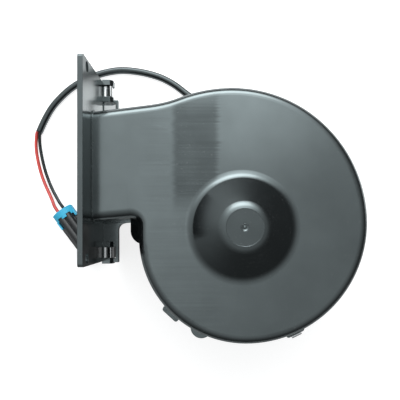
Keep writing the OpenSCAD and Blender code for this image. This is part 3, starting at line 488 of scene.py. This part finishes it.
def closed_skin(rings, sides):
    """Faces over a row of that many rings, with both ends closed."""
    faces = []
    for i in range(rings - 1):
        faces += band(i * sides, (i + 1) * sides, sides)
    last = (rings - 1) * sides
    return faces + [tuple(reversed(range(sides))), tuple(range(last, last + sides))]


def root_rib(name, half):
    """One half's rib: half is 1 on the front and -1 on the rear."""
    section = [(0.0, -RIB_ROOT), (0.0, RIB_H)]
    section += [(across * RIB_W, up * RIB_H) for across, up in RIB_EDGE]
    section.append((RIB_W, -RIB_ROOT))
    points = []
    line = rib_points()
    for (y, z), (out_y, out_z) in line:
        for along, rise in section:
            points.append((PLATE_T + along, y + out_y * rise, half * (z + out_z * rise)))
    faces = closed_skin(len(line), len(section))
    if half > 0:
        faces = [face[::-1] for face in faces]
    rib = mesh_piece(name, points, faces, satin_black, smooth=False)
    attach(rib, "blower")


root_rib("front_neck_rib", 1)
root_rib("rear_neck_rib", -1)

# The mould was filled through the middle of the dome. The gate was twisted off there and left
# a small dished scar with a rounded pip in it.
FAN_Y = -0.0485
GATE_TOP = 0.06308
GATE_FLOOR = 0.06231
GATE_SIDES = 40
DISH_R = 0.00295
DISH_LOW = 0.06236
DISH_STEPS = 8
DISH_CURVE = 1.15
PIP_R = 0.00115
PIP_TOP = 0.06294
PIP_FOOT = 0.06258
PIP_STEPS = 6
PIP_FOOT_SHARE = 0.999
profile = [(DISH_R, GATE_FLOOR), (DISH_R, GATE_TOP)]
for k in range(1, DISH_STEPS + 1):
    inward = 1 - k / DISH_STEPS
    dish_z = DISH_LOW + (GATE_TOP - DISH_LOW) * inward**DISH_CURVE
    profile.append((PIP_R + (DISH_R - PIP_R) * inward, dish_z))
for k in range(PIP_STEPS):
    out = 1 - k / PIP_STEPS
    profile.append((PIP_R * out * PIP_FOOT_SHARE, PIP_TOP - (PIP_TOP - PIP_FOOT) * out**2))
points = []
for r, z in profile:
    points += level_ring(FAN_X, FAN_Y, z, r, GATE_SIDES)
gate_scar = mesh_piece("gate_scar", points, closed_skin(len(profile), GATE_SIDES), satin_black)
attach(gate_scar, "blower")

# Six clips of bright spring strip snap over the rims and hold the two halves together.
# The strip is rolled along its length and its cut edges catch the light.
dress(spring_strip, "housing_clips")

# The lead: a smooth black vinyl sleeve that leaves the motor through a rubber grommet, lies on
# the table round the back of the scroll and is cut off square where the two wires come out.
TABLE_Z = -0.068
LEAD_START = Vector((FAN_X, FAN_Y, TABLE_Z))
LEAD_STEPS = 6
SLEEVE_D = 0.007
SLEEVE_WALL = 0.0004
SLEEVE_CAVITY = 0.012
SLEEVE_SIDES = 28
VINYL_IOR = 1.75
SLEEVE_MM = [
    (0, 40, 8), (0, 47, 8), (0, 58, 7), (-0.8, 71, 5), (-3, 84.5, 3.7), (-8, 97.5, 3.6),
    (-15, 109.5, 3.6), (-24.5, 120, 3.6), (-35.5, 129, 3.6), (-48, 138, 3.6), (-60, 147, 3.6),
    (-73, 154, 3.6), (-87, 158.5, 3.6), (-101.5, 161.2, 3.6), (-115.5, 162, 3.6),
    (-129.5, 160, 3.6), (-143, 156, 3.6), (-155.5, 150.3, 3.6), (-167, 143, 3.6),
    (-177.5, 133.5, 3.6), (-186, 123.5, 3.6), (-193, 111.5, 3.6), (-199, 98.5, 3.6),
]
dress(black_rubber, "lead_grommet")


def lead_route(points_mm):
    """Points measured from the motor's rear face, in millimetres, as places in the frame."""
    return [LEAD_START + Vector(p) / 1000 for p in points_mm]


def smooth_line(points):
    """A round line through the points, as a flexible lead lies."""
    line = []
    for i in range(len(points) - 1):
        before = points[max(i - 1, 0)]
        start, end = points[i], points[i + 1]
        after = points[min(i + 2, len(points) - 1)]
        for k in range(LEAD_STEPS):
            t = k / LEAD_STEPS
            line.append(
                0.5
                * (
                    2 * start
                    + (end - before) * t
                    + (2 * before - 5 * start + 4 * end - after) * t * t
                    + (3 * start - before - 3 * end + after) * t * t * t
                )
            )
    return line + [points[-1].copy()]


def tube(name, line, radius, finish, sides, wall=0.0, cavity=0.0):
    """A round tube along a line. With a wall, its far end is open for the depth of the cavity."""
    rings = []
    side = Vector((0, 0, 1))
    for i, p in enumerate(line):
        along = (line[min(i + 1, len(line) - 1)] - line[max(i - 1, 0)]).normalized()
        side = (side - along * side.dot(along)).normalized()
        rings.append((p, side.copy(), along.cross(side), radius))
    if wall:
        mouth, left = len(rings) - 1, cavity
        inner = []
        while left > 0:
            p, a, b, r = rings[mouth]
            inner.append((p, a, b, r - wall))
            left -= (rings[mouth][0] - rings[mouth - 1][0]).length
            mouth -= 1
        rings += inner
    points = []
    for p, a, b, r in rings:
        for k in range(sides):
            turn = 2 * math.pi * k / sides
            points.append(p + r * (math.cos(turn) * a + math.sin(turn) * b))
    return mesh_piece(name, points, closed_skin(len(rings), sides), finish)


def vinyl(name, dark, light, rough, level):
    """Extruded insulation: glossy, with slight bloom."""
    finish, tree, shader = new_finish(name, light, rough)
    shader.inputs["IOR"].default_value = VINYL_IOR
    # Painted light: the reflections carry the room's cool tint.
    shader.inputs["Specular Tint"].default_value = PAINTED_COOL_LIGHT
    shader.inputs["Specular IOR Level"].default_value = level
    bloom = grain(tree, 260.0, 4.0)
    tint(tree, shader, spread(tree, bloom, 0.35, 0.7, 0, 1), dark, light)
    haze = vary(tree, grain(tree, 900.0, 2.0), rough - 0.07, rough + 0.09)
    tree.links.new(haze, shader.inputs["Roughness"])
    relief(tree, shader, grain(tree, 1500.0, 2.0), 0.00004, 0.5)
    return finish


sleeve_line = smooth_line(lead_route(SLEEVE_MM))
sleeve_vinyl = vinyl("sleeve_vinyl", (0.009, 0.010, 0.011), (0.016, 0.017, 0.018), 0.20, 0.55)
sleeve = tube(
    "sleeve", sleeve_line, SLEEVE_D / 2, sleeve_vinyl, SLEEVE_SIDES, SLEEVE_WALL, SLEEVE_CAVITY
)
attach(sleeve, "blower")
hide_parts("lead_sleeve")

# Two stranded wires, one red and one black, come out of the sleeve side by side, lie on the
# table in an easy bow and rise into the rear of the plug.
WIRE_D = 0.0032
WIRE_SIDES = 20
PLUG_REAR = Vector((-0.175, 0.0177, 0.0))
PLUG_DIR = Vector((0.6, -0.8, 0.0))
PLUG_SIDE = Vector((0.8, 0.6, 0.0))
WIRE_PITCH = 0.0066
WIRE_RISE = 0.007
WIRE_LAST = 0.006
WIRE_IN = 0.009
RED_MM = [
    (-200.5, 99.2, 3.6), (-201.7, 96.6, 3.5), (-202.8, 86, 2.4), (-202.4, 77.5, 1.8),
    (-200.9, 69, 1.8), (-199, 61, 1.8), (-196.4, 52.5, 2), (-192.8, 44, 2.8),
    (-188.8, 36, 4), (-184.8, 28, 5.6),
]
BLACK_MM = [
    (-197.5, 97.8, 3.6), (-198.7, 95.2, 3.5), (-198.9, 87.5, 2.4), (-197.9, 78.5, 1.8),
    (-196.2, 69.8, 1.8), (-194, 61, 1.8), (-191.2, 52.5, 2), (-187.8, 44.3, 2.8),
    (-183.9, 36.8, 4), (-179.6, 29.8, 5.6),
]
red_vinyl = vinyl("red_vinyl", (0.68, 0.055, 0.042), (0.84, 0.090, 0.072), 0.33, 0.4)
black_vinyl = vinyl("black_vinyl", (0.006, 0.007, 0.008), (0.012, 0.013, 0.014), 0.26, 0.3)
for colour, route_mm, across, finish in (
    ("red", RED_MM, -WIRE_PITCH / 2, red_vinyl),
    ("black", BLACK_MM, WIRE_PITCH / 2, black_vinyl),
):
    seal = LEAD_START + PLUG_REAR + PLUG_SIDE * across + Vector((0, 0, WIRE_RISE))
    line = smooth_line(
        lead_route(route_mm) + [seal - WIRE_LAST * PLUG_DIR, seal + WIRE_IN * PLUG_DIR]
    )
    wire = tube(colour + "_lead", line, WIRE_D / 2, finish, WIRE_SIDES)
    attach(wire, "blower")
    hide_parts(colour + "_wire")

# The plug: a black moulded body with two round cells, a sky-blue secondary lock, green
# silicone seals on the wires and tinned blade terminals.
plug_black = moulded("plug_black", (0.010, 0.011, 0.012), (0.022, 0.023, 0.025), 0.27, level=1.0)
dress(plug_black, "connector_body")
lock_blue = moulded("lock_blue", (0.045, 0.50, 0.80), (0.075, 0.62, 0.90), 0.38)
dress(lock_blue, "connector_lock")
seal_green = soft_rubber("seal_green", (0.030, 0.20, 0.075), (0.055, 0.30, 0.12))
dress(seal_green, "wire_seals")
tinned = rolled_metal(
    "tinned", (0.52, 0.47, 0.40), (0.78, 0.74, 0.68), 0.26, (60.0, 60.0, 1200.0)
)
dress(tinned, "terminals")

# The table is white to the camera. Its own colour carries painted shade: grey on the side where
# the housing shades it, whitest beyond the scroll's top edge. For reflections it also glows with
# painted light in a strip along that edge, so the part mirrors it most there.
TABLE_HALF = 0.8
TABLE_DROP = 0.0002
TABLE_SHADE_GREY = (0.38, 0.38, 0.38)
TABLE_WHITE = (0.86, 0.86, 0.86)
TABLE_LIT_Y = (-0.06, 0.05)
TABLE_FADE_Y = (0.098, 0.116)
MIRRORED_NEAR = 0.1
MIRRORED_FAR = 0.25
TABLE_GLOW = 0.80
table_mesh = bpy.data.meshes.new("table")
table_mesh.from_pydata(
    [
        (s * TABLE_HALF, t * TABLE_HALF, TABLE_Z - TABLE_DROP)
        for s, t in ((-1, -1), (1, -1), (1, 1), (-1, 1))
    ],
    [],
    [(0, 1, 2, 3)],
)
table_top = bpy.data.objects.new("table", table_mesh)
bpy.context.scene.collection.objects.link(table_top)


def largest(tree, *values):
    """The largest of several values."""
    found = values[0]
    for value in values[1:]:
        found = put(tree, "Math", {0: found, 1: value}, operation="MAXIMUM").outputs[0]
    return found


table_white, tree, shader = new_finish("table_white", TABLE_WHITE, 0.7)
shader.inputs["Specular IOR Level"].default_value = 0.1
path = put(tree, "LightPath")
place = put(tree, "SeparateXYZ", {"Vector": put(tree, "TexCoord").outputs["Object"]})
# Painted shade: the table's own colour runs from grey, where the housing shades it, to white
# beyond.
lit = spread(tree, place.outputs["Y"], *TABLE_LIT_Y, 0.0, 1.0)
tint(tree, shader, lit, TABLE_SHADE_GREY, TABLE_WHITE)
# Painted light for reflections: glossy rays see the table glow in a strip beyond the scroll's top
# edge, fading further out.
painted_mirror_light = times(
    tree,
    spread(tree, lit, 0.0, 1.0, MIRRORED_NEAR, 1.0),
    spread(tree, place.outputs["Y"], *TABLE_FADE_Y, 1.0, MIRRORED_FAR),
)
seen = largest(
    tree,
    path.outputs["Is Camera Ray"],
    times(tree, path.outputs["Is Glossy Ray"], painted_mirror_light),
    path.outputs["Is Transmission Ray"],
)
tree.links.new(times(tree, seen, TABLE_GLOW), shader.inputs["Emission Strength"])
shader.inputs["Emission Color"].default_value = (1, 1, 1, 1)
table_mesh.materials.append(table_white)

# The light is a pale room. A wide window beyond the part's top edge draws the bright lines
# along the fillets, the ceiling, its lamp and the left wall glow softly, and a weak softbox
# stands in front of the window.
SOFTBOX_AT = (0.05, 1.04, 0.74)
SOFTBOX_AIM = Vector((0.10, -0.05, 0.0))
SOFTBOX_RADIANCE = 1.2
ROOM_WHITE = (0.96, 1.0, 1.01, 1)
ROOM_DIM = 0.06
SILL = (0.12, 0.34)
# Each glow has a direction, a tightness round it and a radiance.
WINDOW = ((-0.04, 0.83, 0.55), 9.0, 4.3)
OVERHEAD = ((0.0, 0.0, 1.0), 2.0, 0.54)
CEILING = ((-0.208, 0.052, 0.977), 30.0, 0.50)
CEILING_LAMP = ((0.09, 0.39, 0.92), 60.0, 1.5)
LEFT_WALL = ((-0.7, 0.6, 0.35), 4.0, 0.45)
LEFT_LOW = ((-0.98, -0.05, 0.2), 3.0, 0.16)
softbox = bpy.data.lights.new("softbox", "AREA")
softbox.shape = "RECTANGLE"
softbox.size = 1.0
softbox.size_y = 0.60
softbox.energy = math.pi * softbox.size * softbox.size_y * SOFTBOX_RADIANCE
softbox_at = bpy.data.objects.new("softbox", softbox)
softbox_at.location = SOFTBOX_AT
aim = SOFTBOX_AIM - softbox_at.location
softbox_at.rotation_euler = aim.to_track_quat("-Z", "Y").to_euler()
softbox_at.visible_camera = False
bpy.context.scene.collection.objects.link(softbox_at)

room = bpy.data.worlds.new("room")
room.use_nodes = True
tree = room.node_tree
toward = put(tree, "TexCoord").outputs["Generated"]


def glow(way, tightness, radiance):
    """Light from round one direction, falling away from it."""
    axis = Vector(way).normalized()
    near = put(tree, "VectorMath", {0: toward, 1: axis}, operation="DOT_PRODUCT").outputs["Value"]
    near = largest(tree, near, 0.0)
    falling = put(tree, "Math", {0: near, 1: tightness}, operation="POWER").outputs[0]
    return times(tree, falling, radiance)


height = put(tree, "SeparateXYZ", {"Vector": toward}).outputs["Z"]
window = times(tree, glow(*WINDOW), spread(tree, height, *SILL, 0.0, 1.0))
soft_glows = [glow(*one) for one in (OVERHEAD, CEILING, CEILING_LAMP, LEFT_WALL, LEFT_LOW)]
light = add(tree, *soft_glows, window, ROOM_DIM)
path = put(tree, "LightPath")
background = tree.nodes["Background"]
background.inputs["Color"].default_value = ROOM_WHITE
tree.links.new(
    largest(tree, path.outputs["Is Camera Ray"], light), background.inputs["Strength"]
)
bpy.context.scene.world = room
bpy.context.scene.view_settings.view_transform = "Standard"

# The view is straight down on the domed front, from a little left of the fan's axis
# and a short arm's length above the table, so the flange plate shows its inner face.
VIEW_FROM = (0.0907, -0.0504, 0.378)
view = bpy.data.cameras.new("view")
view.lens = 38.75
view.sensor_width = 36.0
view.shift_x = -0.0075
view.shift_y = 0.075
view.clip_start = 0.01
view.clip_end = 30.0
view_from = bpy.data.objects.new("view", view)
view_from.location = VIEW_FROM
bpy.context.scene.collection.objects.link(view_from)
bpy.context.scene.camera = view_from
